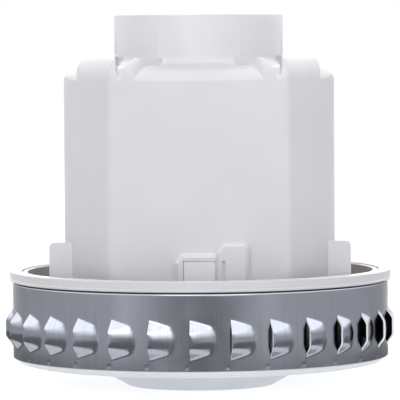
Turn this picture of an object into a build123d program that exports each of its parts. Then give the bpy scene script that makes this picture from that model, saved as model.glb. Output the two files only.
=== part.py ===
from build123d import *
import math
import os

os.makedirs("parts", exist_ok=True)

# Vacuum motor unit, in millimetres. The shaft runs up +Z through the origin, which is the
# middle of the boss face round the suction inlet. The front, with the terminal hood, is -Y.

# Fits that every piece shares
overrun = 1.0            # how far a cut runs past the face that it opens
running_gap = 0.08       # radial gap between a turning face and a fixed one
seat_gap = 0.1           # gap round a piece that is pushed into its seat
press_gap = 0.02         # radial gap of a piece that is pressed or clamped in place

# Bottom plate: a moulded disc with a conical boss round the suction inlet
inlet_radius = 19.0
inlet_lead_in = 1.0
collar_wall = 2.0
collar_height = 7.5
boss_wall = 8.6
boss_height = 7.8
boss_run = 14.4
plate_flat_inset = 9.5
plate_wall = 2.2
plate_edge_rise = 3.5
plate_bend_inset = 4.2
plate_bend_rise = 1.0
spigot_height = 3.5

# Louvred band: the steel wall of the fan case
band_overhang = 3.5
band_height = 28.6
band_sheet = 0.8
band_flange = 3.0
band_bend = 0.6
louvre_count = 30
louvre_rise = 3.1
louvre_reach = 10.3
louvre_foot = 14.2
louvre_crest = 5.8
louvre_centre = 11.3
louvre_phase = -77.05    # degrees round the axis, at the middle of the first louvre

# Rim ring: the U-shaped seat on top of the band
rim_height = 4.5
rim_width = 4.8
rim_draft = 0.75
rim_wall = 1.3
rim_edge = 0.5

# Lower bracket: the moulded disc that closes the fan chamber and carries the motor
bracket_gap = 0.3
bracket_wall = 1.9
bracket_flange = 1.2
bracket_lip = 4.7
bracket_drop = 9.1
bracket_floor = 2.5
bearing_shelf = 3.0
hub_wall = 3.4
seal_bore = 9.0
post_height = 16.5
post_radius = 4.5
floor_rib_height = 5.5
floor_rib_width = 1.6
floor_rib_count = 8

# Motor stack
core_length = 30.0
winding_end = 8.0
winding_gap = 0.5
commutator_length = 12.5
shoulder_gap = 1.5
fan_foot = 0.8
fan_disc = 1.2
fan_blade_height = 5.8
fan_ceiling_gap = 0.8

# Bearings: the lower one is the size called 608, the upper one 607
lower_bearing_radius = 11.0
lower_bearing_width = 7.0
lower_journal_radius = 4.0
upper_bearing_radius = 9.5
upper_bearing_width = 6.0
upper_journal_radius = 3.5
bearing_race_wall = 2.0
bearing_shield = 0.8

# Stator
core_side_gap = 0.9
core_end_gap = 1.2
core_corner = 14.0
yoke_side = 6.5
yoke_end = 7.0
window_corner = 8.0
bore_radius = 21.6
shoe_wall = 3.7
shoe_half_angle = 62.0
neck_half = 10.4
insulator_wall = 0.9
coil_gap = 0.2
coil_build = 10.0
coil_depth = 9.5

# Rotor
air_gap = 0.6
shaft_radius = 4.5
slot_count = 12
slot_mouth = 2.4
slot_half_width = 2.6
slot_lip = 1.2
slot_depth = 9.5
winding_inset = 2.0
winding_inner_radius = 7.0
winding_round = 3.0
commutator_radius = 11.5
commutator_bars = 24
commutator_groove = 0.5
commutator_groove_depth = 1.2
riser_radius = 12.8
riser_length = 2.2

# Suction impeller
impeller_gap = 2.7
impeller_radius = 58.0
impeller_sheet = 0.8
impeller_outlet = 9.0
impeller_dish = 5.3
impeller_eye = 20.5
impeller_lip = 3.2
blade_count = 8
blade_inner_radius = 25.0
blade_sheet = 0.9
blade_sweep = 62.0       # degrees that a blade falls behind from its root to its tip
blade_bow = 0.26         # how far the blade bows out, as a share of its chord
clamp_washer_radius = 12.0
clamp_washer = 1.2
nut_across_flats = 13.0
nut_height = 6.3
thread_end = 2.5
spacer_radius = 6.0
seal_gap = 0.2
seal_height = 2.5

# Carbon brushes and their holders
brush_gap = 0.3
brush_width = 6.3
brush_height = 10.0
brush_length = 26.0
brush_clearance = 0.15
holder_wall = 0.9
holder_stand_off = 3.0
spring_space = 7.5
spring_radius = 2.4
spring_wire = 0.5
spring_turns = 3

# Upper bracket
rail_inset = 11.0
rail_height = 3.0
pillar_inner = 30.0
pillar_half = 9.0
bridge_wall = 3.0
bridge_gap = 0.5
upper_hub_wall = 3.0

# Stator screws
screw_inset = 6.6
screw_radius = 1.9
screw_hole_radius = 2.2
screw_head_radius = 3.6
screw_head_height = 2.6
screw_grip = 11.0
screw_recess_flats = 3.0

# Cooling fan under the tube
fan_radius = 38.0
fan_hub_radius = 8.0
fan_foot_radius = 5.0
fan_blade_count = 9
fan_blade_wall = 1.2
fan_blade_root = 13.0
fan_blade_sweep = 38.0
fan_blade_bow = 0.2

# Motor cover
cover_wall = 2.2
cover_space_x = 12.2
cover_space_y = 7.0
corner_run_x = 17.8
corner_run_y = 23.7
panel_edge = 4.0
side_edge = 22.0
roof_edge = 1.0
platform_rise = 4.6
brow_depth = 10.5
tube_radius = 32.35
tube_wall = 2.2
tube_length = 23.7
tube_edge = 0.4
tube_foot = 0.5
rail_bite = 1.8
rail_block_inset = 4.6
rail_block_overlap = 4.7
rail_corner = 8.0
rail_nose_x = 1.6
rail_nose_y = 3.0
rail_block_rise = 8.1
rail_block_round = 2.9
shoulder_rise = 3.8
shoulder_round = 4.2
cheek_width = 7.6
ridge_width = 4.8
ridge_rise = 7.5
ridge_inset = 6.9
ridge_root_x_share = 0.436
ridge_root_y_share = 0.81
ridge_nose = 4.5
ridge_nose_drop = 3.0
ridge_round = 2.0

# Lugs at the foot of the cover, and the snap catches in them
lug_reach = 5.6
lug_half_y = 30.0
trench_side = 9.5
fin_wall = 3.0
fin_height_front = 24.0
fin_height_rear = 20.0
lug_round = 1.9
catch_half_y = 13.0
catch_height = 15.5
hook_gap = 0.5
hook_wall = 1.8
hook_half = 6.0
hook_height = 11.5
hook_nose = 1.9
hook_nose_height = 2.5
hook_window_margin = 0.6

# Terminal hood and the boss beside it
hood_depth = 4.0
hood_left = 9.5
hood_height = 20.9
hood_chamfer_x = 2.6
hood_chamfer_z = 3.3
hood_bevel = 1.4
pocket_left = 6.3
pocket_right = 5.9
hood_roof = 2.7
boss_right = 18.0
boss_top = 24.8
boss_depth = 5.5
boss_chamfer_x = 2.5
boss_chamfer_z = 3.5
boss_round = 2.4
boss_bevel = 1.2
groove_inset = 2.1
groove_width = 1.4
groove_depth = 1.4
block_height = 7.6
block_recess = 0.3
block_tail = 4.0
blade_half_width = 2.4
blade_thickness = 0.8
blade_length = 8.0
blade_root = 3.0

# Cooling air outlets in the rear wall
outlet_count = 9
outlet_pitch = 7.0
outlet_width = 3.5
outlet_height = 20.0
outlet_base = 14.0

# Levels up the axis, each from the piece below it
plate_level = boss_height
band_bottom = plate_level + plate_edge_rise
band_top = band_bottom + band_height
rim_top = band_top + rim_height
flange_top = band_top - band_sheet
flange_bottom = flange_top - bracket_flange
wall_top = flange_top + bracket_lip
floor_bottom = flange_top - bracket_drop
floor_top = floor_bottom + bracket_floor
bearing_bottom = floor_bottom + bearing_shelf
bearing_top = bearing_bottom + lower_bearing_width
core_bottom = floor_top + post_height
core_top = core_bottom + core_length
commutator_bottom = core_top + winding_end + winding_gap
commutator_top = commutator_bottom + commutator_length
upper_bearing_bottom = commutator_top + shoulder_gap
upper_bearing_top = upper_bearing_bottom + upper_bearing_width
disc_bottom = upper_bearing_top + fan_foot
disc_top = disc_bottom + fan_disc
fan_top = disc_top + fan_blade_height
ceiling = fan_top + fan_ceiling_gap
roof = ceiling + cover_wall
rail_top = roof + rail_block_rise
tube_top = roof + tube_length
brush_level = commutator_bottom + (commutator_length + riser_length) / 2

# Levels down into the fan chamber
back_plate_top = floor_bottom - impeller_gap
back_plate_bottom = back_plate_top - impeller_sheet
upper_washer_top = back_plate_top + clamp_washer
lower_washer_bottom = back_plate_bottom - clamp_washer
nut_bottom = lower_washer_bottom - nut_height
shaft_bottom = nut_bottom - thread_end
front_plate_rim = back_plate_bottom - impeller_outlet

# Motor stack and cover, each round what it holds
core_half_x = bore_radius + coil_build + core_side_gap + yoke_side
core_half_y = bore_radius + shoe_wall + coil_depth + core_end_gap + yoke_end
screw_x = core_half_x - screw_inset
screw_y = core_half_y - screw_inset
rail_inner = core_half_x - rail_inset
cover_half_x = core_half_x + cover_space_x
cover_half_y = core_half_y + cover_space_y
front_flat_half = cover_half_x - corner_run_x
side_flat_half = cover_half_y - corner_run_y
lug_half_x = cover_half_x + lug_reach
rail_block_inner = tube_radius - rail_bite
rail_block_outer = cover_half_x - rail_block_inset
rail_block_half = side_flat_half + rail_block_overlap
ridge_outer_x = front_flat_half - ridge_inset
ridge_inner_x = tube_radius * ridge_root_x_share
ridge_inner_y = tube_radius * ridge_root_y_share

# Drum, round the lugs of the cover
bracket_inner_radius = lug_half_x + trench_side
bracket_outer_radius = bracket_inner_radius + bracket_wall
rim_inner_radius = bracket_outer_radius + bracket_gap
rim_radius = rim_inner_radius + rim_width
rim_foot_radius = rim_radius - rim_draft
band_radius = rim_inner_radius + band_overhang
plate_bend_radius = band_radius - plate_bend_inset
plate_flat_radius = band_radius - plate_flat_inset
boss_radius = inlet_radius + boss_wall
boss_foot_radius = boss_radius + boss_run

# Radii that follow from the fits
band_inner_radius = band_radius - band_sheet
spigot_radius = band_inner_radius - seat_gap
flange_radius = band_inner_radius - seat_gap
lower_seat_radius = lower_bearing_radius + press_gap
hub_radius = lower_bearing_radius + hub_wall
upper_seat_radius = upper_bearing_radius + press_gap
upper_hub_radius = upper_bearing_radius + upper_hub_wall
rotor_radius = bore_radius - air_gap
slot_floor_radius = rotor_radius - slot_depth
winding_radius = rotor_radius - winding_inset
tube_bore_radius = tube_radius - tube_wall


def write(part, name):
    """Label a finished piece and write it."""
    part.label = name
    export_step(part, f"parts/{name}.step")


def ring(inner, outer, bottom, top):
    """A plain turned ring between two radii and two levels."""
    with BuildPart() as turned:
        with BuildSketch(Plane.XY.offset(bottom)):
            Circle(outer)
            Circle(inner, mode=Mode.SUBTRACT)
        extrude(amount=top - bottom)
    return turned.part


def vane(inner, outer, sweep, bow_share, sheet, bottom, top):
    """One curved blade: a strip of sheet along an arc from its root to its tip."""
    tip_angle = math.radians(sweep)
    root = Vector(inner, 0)
    tip = Vector(outer * math.cos(tip_angle), -outer * math.sin(tip_angle))
    chord = tip - root
    crown = root + chord * 0.5 + Vector(-chord.Y, chord.X) * bow_share
    with BuildPart() as blade:
        with BuildSketch(Plane.XY.offset(bottom)):
            with BuildLine():
                spine = ThreePointArc(root, crown, tip)
            trace(spine, line_width=sheet)
        extrude(amount=top - bottom)
    return blade.part


# Bottom plate
flank_angle = math.atan2(boss_height, boss_foot_radius - boss_radius)
flank_shift = plate_wall * math.tan(flank_angle / 2)
collar_radius = inlet_radius + collar_wall
with BuildPart() as bottom_plate:
    with BuildSketch(Plane.XZ):
        with BuildLine():
            Polyline(
                (plate_flat_radius, plate_level),
                (boss_foot_radius, plate_level),
                (boss_radius, 0),
                (inlet_radius + inlet_lead_in, 0),
                (inlet_radius, inlet_lead_in),
                (inlet_radius, collar_height),
                (collar_radius, collar_height),
                (collar_radius, plate_wall),
                (boss_radius - flank_shift, plate_wall),
                (boss_foot_radius - flank_shift, plate_level + plate_wall),
                (spigot_radius - plate_wall, plate_level + plate_wall),
                (spigot_radius - plate_wall, band_bottom + spigot_height),
                (spigot_radius, band_bottom + spigot_height),
                (spigot_radius, band_bottom),
                (band_radius, band_bottom),
                (plate_bend_radius, plate_level + plate_bend_rise),
                close=True,
            )
        make_face()
    revolve(axis=Axis.Z)
write(bottom_plate.part, "bottom_plate")


# Louvred band
def louvre_form(sheet, depth):
    """The space under one louvre's skin, its mouth at the lower angle, on the +X side.

    The skin lies in by sheet from the outer form, and the foot reaches depth below it.
    """
    foot_radius = math.sqrt(band_radius**2 - (louvre_reach / 2) ** 2)
    level = band_bottom + louvre_centre
    mouth = -louvre_reach / 2
    ramp_fall = (louvre_rise + depth) * louvre_reach / louvre_rise
    ramp_drop = sheet * math.hypot(louvre_rise, louvre_reach) / louvre_reach
    crest = foot_radius + louvre_rise - ramp_drop
    with BuildPart() as form:
        with BuildSketch(Plane.XY.offset(level - louvre_foot)):
            with BuildLine():
                Polyline(
                    (foot_radius - depth, mouth),
                    (crest, mouth),
                    (crest - louvre_rise - depth, mouth + ramp_fall),
                    (foot_radius - depth - overrun, mouth + ramp_fall),
                    (foot_radius - depth - overrun, mouth),
                    close=True,
                )
            make_face()
            with Locations((foot_radius - depth / 2 + louvre_rise / 2, 0)):
                Rectangle(louvre_rise + depth, 2 * ramp_fall, mode=Mode.INTERSECT)
        extrude(amount=2 * louvre_foot)
        for side in (-1, 1):
            foot = Vector(foot_radius, mouth, level + side * louvre_foot / 2)
            shoulder = Vector(foot_radius + louvre_rise, mouth, level + side * louvre_crest / 2)
            tip = Vector(foot_radius, -mouth, level + side * louvre_crest / 2)
            outward = (shoulder - foot).cross(tip - foot) * side
            flank = Plane(origin=foot, x_dir=shoulder - foot, z_dir=outward)
            split(bisect_by=flank.offset(-sheet), keep=Keep.BOTTOM)
    return form.part


with BuildPart() as louvre_band:
    with BuildSketch(Plane.XZ) as wall_profile:
        with BuildLine():
            Polyline(
                (band_inner_radius, band_bottom),
                (band_radius, band_bottom),
                (band_radius, band_top),
                (band_radius - band_flange, band_top),
                (band_radius - band_flange, flange_top),
                (band_inner_radius, flange_top),
                close=True,
            )
        make_face()
        shoulder = wall_profile.vertices().sort_by_distance((band_radius, band_top))[0]
        chamfer(shoulder, band_bend)
    revolve(axis=Axis.Z)
    with PolarLocations(0, louvre_count, start_angle=louvre_phase):
        add(louvre_form(0, band_sheet / 2))
    with PolarLocations(0, louvre_count, start_angle=louvre_phase):
        add(louvre_form(band_sheet, band_sheet + overrun), mode=Mode.SUBTRACT)
write(louvre_band.part, "louvre_band")

# Rim ring: two skirts under one web, its outer face leaning in to the band
with BuildPart() as rim_ring:
    with BuildSketch(Plane.XZ) as rim_profile:
        with BuildLine():
            Polyline(
                (rim_inner_radius, band_top),
                (rim_inner_radius, rim_top),
                (rim_radius, rim_top),
                (rim_foot_radius, band_top),
                (rim_foot_radius - rim_wall, band_top),
                (rim_foot_radius - rim_wall, rim_top - rim_wall),
                (rim_inner_radius + rim_wall, rim_top - rim_wall),
                (rim_inner_radius + rim_wall, band_top),
                close=True,
            )
        make_face()
        crown = rim_profile.vertices().group_by(Axis.Y)[-1]
        chamfer(crown, rim_edge)
    revolve(axis=Axis.Z)
write(rim_ring.part, "rim_ring")

# Lower bracket
screw_spots = [(x, y) for x in (-screw_x, screw_x) for y in (-screw_y, screw_y)]
hook_inner = cover_half_x + hook_gap
hook_outer = hook_inner + hook_wall
hook_top = floor_top + hook_height
with BuildPart() as lower_bracket:
    with BuildSketch(Plane.XZ):
        with BuildLine():
            Polyline(
                (seal_bore, floor_bottom),
                (bracket_outer_radius, floor_bottom),
                (bracket_outer_radius, flange_bottom),
                (flange_radius, flange_bottom),
                (flange_radius, flange_top),
                (bracket_outer_radius, flange_top),
                (bracket_outer_radius, wall_top),
                (bracket_inner_radius, wall_top),
                (bracket_inner_radius, floor_top),
                (hub_radius, floor_top),
                (hub_radius, bearing_top),
                (lower_seat_radius, bearing_top),
                (lower_seat_radius, bearing_bottom),
                (seal_bore, bearing_bottom),
                close=True,
            )
        make_face()
    revolve(axis=Axis.Z)
    with BuildSketch(Plane.XY.offset(floor_top)):
        rib_reach = cover_half_y - cover_wall - seat_gap
        with PolarLocations(0, floor_rib_count):
            with Locations(((hub_radius + rib_reach) / 2, 0)):
                Rectangle(rib_reach - hub_radius + 2 * overrun, floor_rib_width)
        Circle(hub_radius - hub_wall / 2, mode=Mode.SUBTRACT)
        with Locations((0, 0)):
            Circle(rib_reach, mode=Mode.INTERSECT)
    extrude(amount=floor_rib_height)
    with BuildSketch(Plane.XY.offset(floor_top)):
        with Locations(*screw_spots):
            Circle(post_radius)
    extrude(amount=post_height)
    with BuildSketch(Plane.XY.offset(core_bottom - screw_grip - overrun)):
        with Locations(*screw_spots):
            Circle(screw_radius + press_gap)
    extrude(amount=screw_grip + 2 * overrun, mode=Mode.SUBTRACT)
    with BuildSketch(Plane.XZ.offset(-hook_half)):
        with BuildLine():
            Polyline(
                (hook_inner, floor_top),
                (hook_outer, floor_top),
                (hook_outer, hook_top),
                (hook_inner, hook_top),
                (hook_inner - hook_nose, hook_top - hook_nose_height),
                (hook_inner, hook_top - hook_nose_height),
                close=True,
            )
        make_face()
        mirror(about=Plane.YZ)
    extrude(amount=2 * hook_half)
write(lower_bracket.part, "lower_bracket")


# Bearings: the outer ring with its two shields, and the inner ring between them
def outer_race(radius, journal, width, bottom, name):
    """A bearing's outer ring, its shields closing in on the inner ring."""
    gap_radius = journal + bearing_race_wall + running_gap
    with BuildPart() as race:
        with BuildSketch(Plane.XZ):
            with BuildLine():
                Polyline(
                    (gap_radius, bottom),
                    (radius, bottom),
                    (radius, bottom + width),
                    (gap_radius, bottom + width),
                    (gap_radius, bottom + width - bearing_shield),
                    (radius - bearing_race_wall, bottom + width - bearing_shield),
                    (radius - bearing_race_wall, bottom + bearing_shield),
                    (gap_radius, bottom + bearing_shield),
                    close=True,
                )
            make_face()
        revolve(axis=Axis.Z)
    write(race.part, name)


def inner_race(journal, width, bottom, name):
    """A bearing's inner ring, pressed on its journal."""
    race = ring(journal + press_gap, journal + bearing_race_wall, bottom, bottom + width)
    write(race, name)


outer_race(
    lower_bearing_radius,
    lower_journal_radius,
    lower_bearing_width,
    bearing_bottom,
    "lower_bearing_outer_ring",
)
inner_race(
    lower_journal_radius, lower_bearing_width, bearing_bottom, "lower_bearing_inner_ring"
)
outer_race(
    upper_bearing_radius,
    upper_journal_radius,
    upper_bearing_width,
    upper_bearing_bottom,
    "upper_bearing_outer_ring",
)
inner_race(
    upper_journal_radius,
    upper_bearing_width,
    upper_bearing_bottom,
    "upper_bearing_inner_ring",
)

# Felt seal round the spacer, in the bracket's bore under the bearing
shaft_seal = ring(
    spacer_radius + seal_gap,
    seal_bore - press_gap,
    bearing_bottom - seal_height,
    bearing_bottom,
)
write(shaft_seal, "shaft_seal")


# Stator core: stamped sheets with two poles, on the front and the rear
def core_outline():
    """The outer edge of the stator sheets."""
    with BuildSketch() as outline:
        RectangleRounded(2 * core_half_x, 2 * core_half_y, core_corner)
    return outline.sketch


with BuildPart() as stator_core:
    with BuildSketch(Plane.XY.offset(core_bottom)):
        add(core_outline())
        RectangleRounded(
            2 * (core_half_x - yoke_side),
            2 * (core_half_y - yoke_end),
            window_corner,
            mode=Mode.SUBTRACT,
        )
        with BuildSketch(mode=Mode.PRIVATE) as shoes:
            Circle(bore_radius + shoe_wall)
            shoe_x = (bore_radius + shoe_wall) * math.sin(math.radians(shoe_half_angle))
            shoe_y = (bore_radius + shoe_wall) * math.cos(math.radians(shoe_half_angle))
            for side in (1, -1):
                with BuildLine():
                    Polyline(
                        (0, 0),
                        (side * shoe_x * 2, shoe_y * 2),
                        (side * shoe_x * 2, -shoe_y * 2),
                        close=True,
                    )
                make_face(mode=Mode.SUBTRACT)
        Rectangle(2 * neck_half, 2 * (core_half_y - yoke_end) + overrun)
        add(shoes.sketch)
        Circle(bore_radius, mode=Mode.SUBTRACT)
        with Locations(*screw_spots):
            Circle(screw_hole_radius, mode=Mode.SUBTRACT)
    extrude(amount=core_length)
write(stator_core.part, "stator_core")

# Pole insulators and field coils, one of each round the neck of each pole
sleeve_half = neck_half + press_gap + insulator_wall
sleeve_end = core_length / 2 + press_gap + insulator_wall
coil_inner = bore_radius + shoe_wall + coil_gap
core_middle = (core_bottom + core_top) / 2
coil_half = sleeve_half + press_gap
coil_end = sleeve_end + press_gap
for side, place in ((-1, "front"), (1, "rear")):
    pole = Plane(origin=(0, side * coil_inner, core_middle), x_dir=(1, 0, 0), z_dir=(0, side, 0))
    with BuildPart() as insulator:
        with BuildSketch(pole):
            Rectangle(2 * sleeve_half, 2 * sleeve_end)
            Rectangle(
                2 * (sleeve_half - insulator_wall),
                2 * (sleeve_end - insulator_wall),
                mode=Mode.SUBTRACT,
            )
        extrude(amount=coil_depth)
    write(insulator.part, f"pole_insulator_{place}")
    with BuildPart() as coil:
        with BuildSketch(pole):
            RectangleRounded(
                2 * (coil_half + coil_build), 2 * (coil_end + coil_build), coil_build
            )
            Rectangle(2 * coil_half, 2 * coil_end, mode=Mode.SUBTRACT)
        extrude(amount=coil_depth)
    write(coil.part, f"field_coil_{place}")

# Stator screws: four long screws down through the bracket and the core into the posts
screw_seat = core_top + rail_height
screw_point = core_bottom - screw_grip
with BuildPart() as stator_screws:
    with BuildSketch(Plane.XY.offset(screw_point)):
        with Locations(*screw_spots):
            Circle(screw_radius)
    extrude(amount=screw_seat - screw_point)
    with BuildSketch(Plane.XY.offset(screw_seat)):
        with Locations(*screw_spots):
            Circle(screw_head_radius)
    extrude(amount=screw_head_height)
    with BuildSketch(Plane.XY.offset(screw_seat + screw_head_height)):
        with Locations(*screw_spots):
            RegularPolygon(screw_recess_flats / 2, 6, major_radius=False)
    extrude(amount=-screw_head_height / 2, mode=Mode.SUBTRACT)
write(stator_screws.part, "stator_screws")

# Shaft with its two journals
with BuildPart() as shaft:
    with BuildSketch(Plane.XZ):
        with BuildLine():
            Polyline(
                (0, shaft_bottom),
                (lower_journal_radius, shaft_bottom),
                (lower_journal_radius, bearing_top),
                (shaft_radius, bearing_top),
                (shaft_radius, upper_bearing_bottom),
                (upper_journal_radius, upper_bearing_bottom),
                (upper_journal_radius, fan_top),
                (0, fan_top),
                close=True,
            )
        make_face()
    revolve(axis=Axis.Z)
write(shaft.part, "shaft")

# Rotor core: slotted sheets on the shaft
slot_top_radius = rotor_radius - slot_lip
with BuildSketch() as slot:
    with BuildLine():
        Polyline(
            (rotor_radius + overrun, -slot_mouth / 2),
            (rotor_radius + overrun, slot_mouth / 2),
            (slot_top_radius, slot_mouth / 2),
            (slot_top_radius - slot_lip, slot_half_width),
            (slot_floor_radius, slot_mouth / 2),
            (slot_floor_radius, -slot_mouth / 2),
            (slot_top_radius - slot_lip, -slot_half_width),
            (slot_top_radius, -slot_mouth / 2),
            close=True,
        )
    make_face()
with BuildPart() as rotor_core:
    with BuildSketch(Plane.XY.offset(core_bottom)):
        Circle(rotor_radius)
        Circle(shaft_radius + press_gap, mode=Mode.SUBTRACT)
        with PolarLocations(0, slot_count):
            add(slot.sketch, mode=Mode.SUBTRACT)
    extrude(amount=core_length)
write(rotor_core.part, "rotor_core")

# Armature winding: the wound ends above and below the core, joined through its slots
winding_bottom = core_bottom - winding_end
winding_top = core_top + winding_end
with BuildSketch() as slot_wire:
    with BuildLine():
        Polyline(
            (slot_top_radius - slot_lip, -slot_half_width + seat_gap),
            (slot_top_radius - slot_lip, slot_half_width - seat_gap),
            (slot_floor_radius + seat_gap, slot_mouth / 2 - seat_gap),
            (slot_floor_radius + seat_gap, -slot_mouth / 2 + seat_gap),
            close=True,
        )
    make_face()
with BuildPart() as armature_winding:
    with BuildSketch(Plane.XZ):
        for level, end in ((core_bottom, winding_bottom), (core_top, winding_top)):
            rise = winding_round if end > level else -winding_round
            with BuildLine():
                Polyline(
                    (winding_inner_radius, level),
                    (winding_radius, level),
                    (winding_radius, end - rise),
                    (winding_radius - winding_round, end),
                    (winding_inner_radius, end),
                    close=True,
                )
            make_face()
    revolve(axis=Axis.Z)
    with BuildSketch(Plane.XY.offset(core_bottom)):
        with PolarLocations(0, slot_count):
            add(slot_wire.sketch)
    extrude(amount=core_length)
write(armature_winding.part, "armature_winding")

# Commutator: copper bars with risers at the winding's end
with BuildPart() as commutator:
    with BuildSketch(Plane.XY.offset(commutator_bottom)):
        Circle(commutator_radius)
    extrude(amount=commutator_length)
    with BuildSketch(Plane.XY.offset(commutator_bottom)):
        Circle(riser_radius)
    extrude(amount=riser_length)
    with BuildSketch(Plane.XY.offset(commutator_bottom)):
        with PolarLocations(0, commutator_bars):
            with Locations((riser_radius, 0)):
                Rectangle(
                    2 * (riser_radius - commutator_radius + commutator_groove_depth),
                    commutator_groove,
                )
        Circle(shaft_radius + press_gap)
    extrude(amount=commutator_length, mode=Mode.SUBTRACT)
write(commutator.part, "commutator")

# Suction impeller: two sheets with curved blades between them, clamped on the shaft
clamp_bore = lower_journal_radius + press_gap
write(
    ring(clamp_bore, impeller_radius, back_plate_bottom, back_plate_top),
    "impeller_back_plate",
)
front_plate_root = front_plate_rim - impeller_dish
front_lip_radius = impeller_eye + impeller_sheet
dish_radius = front_lip_radius + impeller_lip
with BuildPart() as impeller_front_plate:
    with BuildSketch(Plane.XZ) as front_profile:
        with BuildLine():
            Polyline(
                (impeller_radius, front_plate_rim),
                (impeller_radius, front_plate_rim - impeller_sheet),
                (dish_radius, front_plate_root - impeller_sheet),
                (front_lip_radius, front_plate_root - impeller_lip),
                (impeller_eye, front_plate_root - impeller_lip),
                (dish_radius - impeller_sheet, front_plate_root),
                close=True,
            )
        make_face()
    revolve(axis=Axis.Z)
write(impeller_front_plate.part, "impeller_front_plate")

with BuildPart() as impeller_blades:
    with PolarLocations(0, blade_count):
        add(
            vane(
                blade_inner_radius,
                impeller_radius - blade_sheet,
                blade_sweep,
                blade_bow,
                blade_sheet,
                front_plate_root - impeller_lip,
                back_plate_bottom,
            )
        )
    with BuildSketch(Plane.XZ):
        with BuildLine():
            Polyline(
                (impeller_radius + overrun, front_plate_rim + press_gap),
                (impeller_radius + overrun, front_plate_root - 2 * impeller_lip),
                (0, front_plate_root - 2 * impeller_lip),
                (0, front_plate_root + press_gap),
                (dish_radius - impeller_sheet, front_plate_root + press_gap),
                (impeller_radius, front_plate_rim + press_gap),
                close=True,
            )
        make_face()
    revolve(axis=Axis.Z, mode=Mode.SUBTRACT)
write(impeller_blades.part, "impeller_blades")

with BuildPart() as impeller_washers:
    for base in (lower_washer_bottom, back_plate_top):
        with BuildSketch(Plane.XY.offset(base)):
            Circle(clamp_washer_radius)
            Circle(clamp_bore, mode=Mode.SUBTRACT)
        extrude(amount=clamp_washer)
write(impeller_washers.part, "impeller_washers")

with BuildPart() as impeller_nut:
    with BuildSketch(Plane.XY.offset(nut_bottom)):
        RegularPolygon(nut_across_flats / 2, 6, major_radius=False)
        Circle(clamp_bore, mode=Mode.SUBTRACT)
    extrude(amount=nut_height)
write(impeller_nut.part, "impeller_nut")

write(ring(clamp_bore, spacer_radius, upper_washer_top, bearing_bottom), "spacer_sleeve")

# Cooling fan: a moulded disc with curved blades, pressed on the upper end of the shaft
with BuildPart() as cooling_fan:
    with BuildSketch(Plane.XY.offset(disc_bottom)):
        Circle(fan_radius)
    extrude(amount=fan_disc)
    with BuildSketch(Plane.XY.offset(disc_top)):
        Circle(fan_hub_radius)
    extrude(amount=fan_blade_height)
    with BuildSketch(Plane.XY.offset(upper_bearing_top)):
        Circle(fan_foot_radius)
    extrude(amount=fan_foot)
    with PolarLocations(0, fan_blade_count):
        add(
            vane(
                fan_blade_root,
                fan_radius - fan_blade_wall,
                fan_blade_sweep,
                fan_blade_bow,
                fan_blade_wall,
                disc_top,
                fan_top,
            )
        )
    with BuildSketch(Plane.XY.offset(upper_bearing_top - overrun)):
        Circle(upper_journal_radius + press_gap)
    extrude(amount=fan_top - upper_bearing_top + 2 * overrun, mode=Mode.SUBTRACT)
write(cooling_fan.part, "cooling_fan")

# Brushes in their tube holders, pressed to the commutator by coil springs
brush_inner = commutator_radius + brush_gap
brush_outer = brush_inner + brush_length
holder_inner = commutator_radius + holder_stand_off
holder_outer = brush_outer + spring_space + holder_wall
cavity_half = brush_width / 2 + brush_clearance
cavity_end = brush_height / 2 + brush_clearance


def brush_spring(side):
    """A compression spring behind the brush, its coils along X."""
    start = brush_outer + spring_wire + press_gap
    length = spring_space - 2 * (spring_wire + press_gap)
    pitch = length / spring_turns
    with BuildPart() as spring:
        with BuildLine() as path:
            Helix(
                pitch,
                length,
                spring_radius,
                center=(side * start, 0, brush_level),
                direction=(side, 0, 0),
            )
        with BuildSketch(Plane(origin=path.line @ 0, z_dir=path.line % 0)):
            Rectangle(spring_wire, spring_wire)
        sweep(is_frenet=True)
    return spring.part


for side, place in ((-1, "left"), (1, "right")):
    face = Plane(origin=(0, 0, brush_level), x_dir=(0, side, 0), z_dir=(side, 0, 0))
    with BuildPart() as brush_holder:
        with BuildSketch(face.offset(holder_inner)):
            Rectangle(2 * (cavity_half + holder_wall), 2 * (cavity_end + holder_wall))
        extrude(amount=holder_outer - holder_inner)
        with BuildSketch(face.offset(holder_inner)):
            Rectangle(2 * cavity_half, 2 * cavity_end)
        extrude(amount=holder_outer - holder_wall - holder_inner, mode=Mode.SUBTRACT)
    write(brush_holder.part, f"brush_holder_{place}")
    with BuildPart() as carbon_brush:
        with BuildSketch(face.offset(brush_inner)):
            Rectangle(brush_width, brush_height)
        extrude(amount=brush_length)
    write(carbon_brush.part, f"carbon_brush_{place}")
    write(brush_spring(side), f"brush_spring_{place}")

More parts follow.
